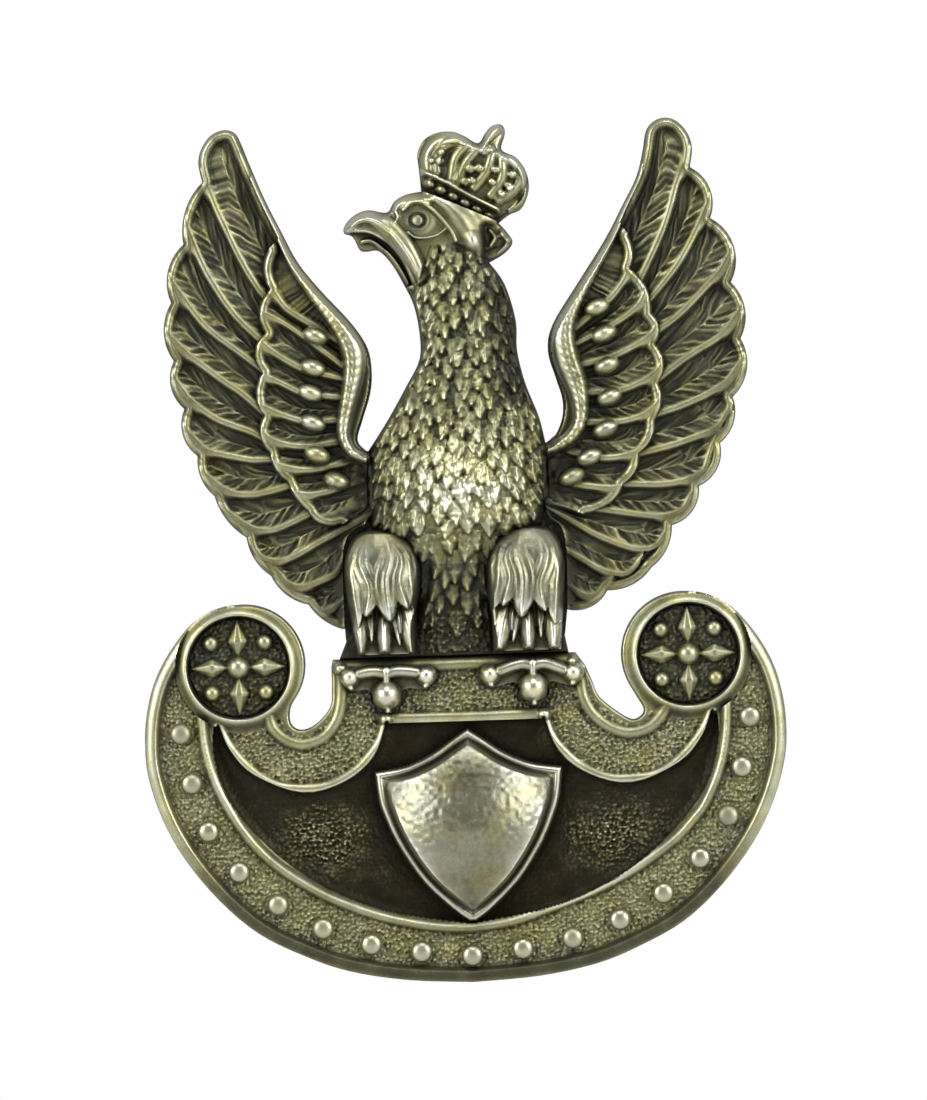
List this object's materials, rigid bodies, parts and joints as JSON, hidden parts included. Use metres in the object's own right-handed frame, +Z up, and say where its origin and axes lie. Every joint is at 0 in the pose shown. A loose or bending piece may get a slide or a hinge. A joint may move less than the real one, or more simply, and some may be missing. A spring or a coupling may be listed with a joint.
{
  "type": "cap badge",
  "caption": "Crowned eagle cap badge on a crescent shield with scrolled horns, held to the cap by a threaded post, a washer and a knurled nut.",
  "frame": {"origin": "axis of the threaded post, on the flat back plane of the badge", "axes": "+Z up the badge, -Y out of its face, +X to the right seen from the front"},
  "size_m": [0.0386, 0.0142, 0.0517],
  "materials": {
    "oxidised_silver": "silver-plated relief, oxidised dark in the recesses",
    "worn_silver": "silver plate worn bright",
    "dark_patina": "dark oxidised silver plate",
    "plated_fixing": "nickel plate, lightly worn",
    "washer_steel": "brushed"
  },
  "bodies": {
    "badge": {"pelta_plate": "oxidised_silver", "rosette_left": "dark_patina", "rosette_right": "dark_patina", "rim_stud_01": "worn_silver", "rim_stud_02": "worn_silver", "rim_stud_03": "worn_silver", "rim_stud_04": "worn_silver", "rim_stud_05": "worn_silver", "rim_stud_06": "worn_silver", "rim_stud_07": "worn_silver", "rim_stud_08": "worn_silver", "rim_stud_09": "worn_silver", "rim_stud_10": "worn_silver", "rim_stud_11": "worn_silver", "rim_stud_12": "worn_silver", "rim_stud_13": "worn_silver", "rim_stud_14": "worn_silver", "rim_stud_15": "worn_silver", "rim_stud_16": "worn_silver", "rim_stud_17": "worn_silver", "escutcheon": "worn_silver", "torso": "oxidised_silver", "head": "oxidised_silver", "crown": "oxidised_silver", "wing_left": "oxidised_silver", "wing_right": "oxidised_silver", "coverts_left": "oxidised_silver", "coverts_right": "oxidised_silver", "leg_left": "worn_silver", "leg_right": "worn_silver", "talons_left": "worn_silver", "talons_right": "worn_silver", "tail": "dark_patina", "post_base": "plated_fixing", "screw_post": "plated_fixing", "locating_pin_left": "plated_fixing", "locating_pin_right": "plated_fixing"},
    "washer": {"backing_washer": "washer_steel"},
    "nut": {"round_nut": "plated_fixing"}
  },
  "joints": [
    {"name": "nut_travel", "type": "slide", "parent": "badge", "child": "washer", "axis": [0, 1, 0], "range_m": [-0.0019, 0.003]},
    {"name": "nut_turn", "type": "hinge", "parent": "washer", "child": "nut", "pos_m": [0, 0.0047, 0], "axis": [0, 1, 0], "range_deg": [-1369, 2161]}
  ],
  "couplings": [
    {"joint": "nut_turn", "follows": "nut_travel", "rad_per_m": 12566}
  ]
}
